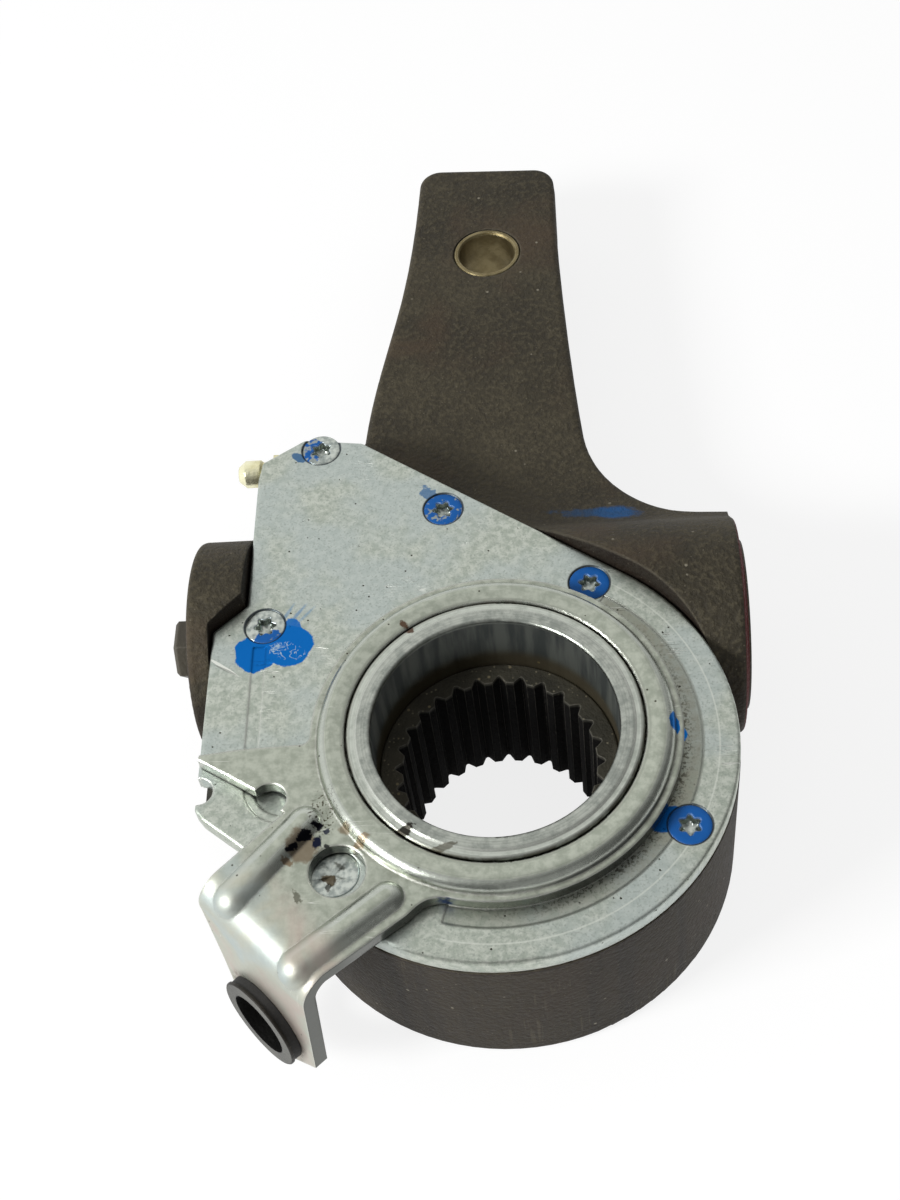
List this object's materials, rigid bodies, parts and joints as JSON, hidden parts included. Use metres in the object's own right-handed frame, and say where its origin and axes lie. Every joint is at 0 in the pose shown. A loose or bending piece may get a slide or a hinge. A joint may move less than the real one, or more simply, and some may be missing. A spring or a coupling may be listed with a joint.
{
  "type": "brake slack adjuster",
  "caption": "Automatic brake slack adjuster: splined barrel with a worm gear drive, a clevis lever, a cover plate and a swinging control arm with a folded anchor lug.",
  "frame": {"origin": "on the camshaft axis, in the plane of the back faces of the barrel and its splined wheel", "axes": "+Z along the camshaft towards the cover, +Y along the lever towards the clevis pin, +X along the worm towards its spring"},
  "size_m": [0.1137, 0.2207, 0.044],
  "materials": {
    "casting_paint": "matt dark brown-black paint over a rough casting",
    "yellow_zinc": "dull yellow zinc plate",
    "zinc_plate": "dull grey zinc plate, pitted and scratched",
    "gasket_sheet": "dark fibre sheet",
    "screw_steel": "steel with blue sealing paint",
    "seal_rubber": "black rubber",
    "gear_steel": "dark phosphated steel",
    "spring_steel": "drawn spring wire",
    "bearing_steel": "ground bearing steel",
    "cage_brass": "pressed brass"
  },
  "bodies": {
    "root": {"housing": "casting_paint", "clevis_bushing": "yellow_zinc", "cover_plate": "zinc_plate", "cover_gasket": "gasket_sheet", "cover_screws": "screw_steel", "cover_seal": "seal_rubber", "wheel_seal": "seal_rubber", "shaft_seal": "seal_rubber", "clutch_washer": "gear_steel", "thrust_race_outer": "bearing_steel", "spring_seat": "gear_steel", "pressure_spring": "spring_steel", "bearing_retainer": "casting_paint", "retainer_seal": "seal_rubber", "grease_fitting": "yellow_zinc"},
    "worm": {"worm_shaft": "gear_steel", "clutch_wheel": "gear_steel", "thrust_race_inner": "bearing_steel"},
    "balls": {"thrust_balls": "bearing_steel", "thrust_cage": "cage_brass"},
    "wheel": {"worm_wheel": "gear_steel"},
    "clutch": {"clutch_gear": "gear_steel", "one_way_spring": "spring_steel"},
    "rack": {"rack": "gear_steel"},
    "control": {"control_arm": "zinc_plate", "control_wheel": "gear_steel", "lug_grommet": "seal_rubber", "lug_sleeve": "zinc_plate"}
  },
  "joints": [
    {"name": "worm_turn", "type": "hinge", "parent": "root", "child": "worm", "pos_m": [0, 0.0346, 0.0215], "axis": [1, 0, 0], "continuous": true},
    {"name": "wheel_turn", "type": "hinge", "parent": "root", "child": "wheel", "pos_m": [0, 0, 0], "axis": [0, 0, 1], "continuous": true},
    {"name": "balls_turn", "type": "hinge", "parent": "root", "child": "balls", "pos_m": [0, 0.0346, 0.0215], "axis": [1, 0, 0], "continuous": true},
    {"name": "control_swing", "type": "hinge", "parent": "root", "child": "control", "pos_m": [0, 0, 0], "axis": [0, 0, 1], "range_deg": [-18, 8]},
    {"name": "rack_slide", "type": "slide", "parent": "root", "child": "rack", "axis": [0, 1, 0], "range_m": [-0.0043, 0.0096]},
    {"name": "clutch_turn", "type": "hinge", "parent": "root", "child": "clutch", "pos_m": [0, 0.0346, 0.0215], "axis": [1, 0, 0], "range_deg": [-64.7, 28.8]}
  ],
  "couplings": [
    {"joint": "wheel_turn", "follows": "worm_turn", "ratio": 0.038462},
    {"joint": "balls_turn", "follows": "worm_turn", "ratio": 0.5},
    {"joint": "rack_slide", "follows": "control_swing", "m_per_rad": -0.0305},
    {"joint": "clutch_turn", "follows": "control_swing", "ratio": 3.5882}
  ]
}
